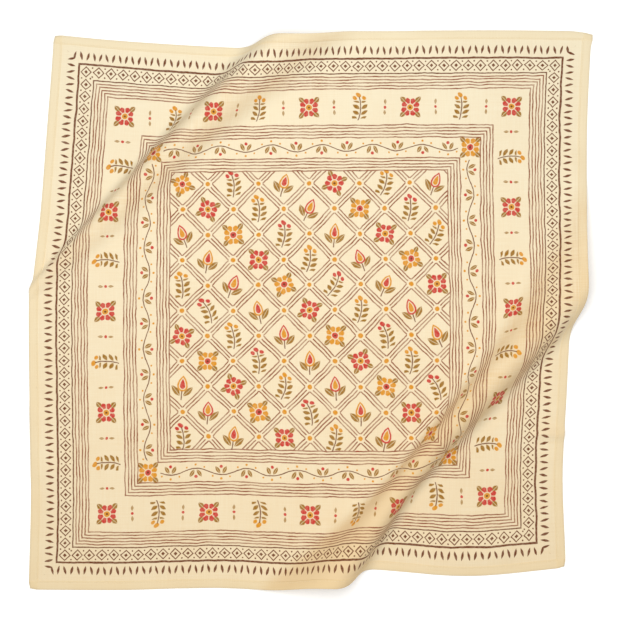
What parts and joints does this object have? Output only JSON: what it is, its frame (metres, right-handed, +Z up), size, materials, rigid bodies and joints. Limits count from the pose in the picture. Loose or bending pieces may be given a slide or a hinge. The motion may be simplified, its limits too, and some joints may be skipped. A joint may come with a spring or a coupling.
{
  "type": "bandana laid open",
  "caption": "Square hemmed cotton bandana spread open on a surface, with soft ridges across opposite corners, a printed border and a floral field.",
  "frame": {"origin": "On the surface that the cloth lies on, under the middle of its bounding box", "axes": "+X to the right edge of the cloth, +Y to its far edge, +Z up, away from the surface"},
  "size_m": [0.5566, 0.5512, 0.0404],
  "materials": {
    "cotton": "matt plain weave, cream, printed in brown, red, ochre and olive"
  },
  "bodies": {
    "root": {"bandana_cloth": "cotton"}
  },
  "joints": []
}
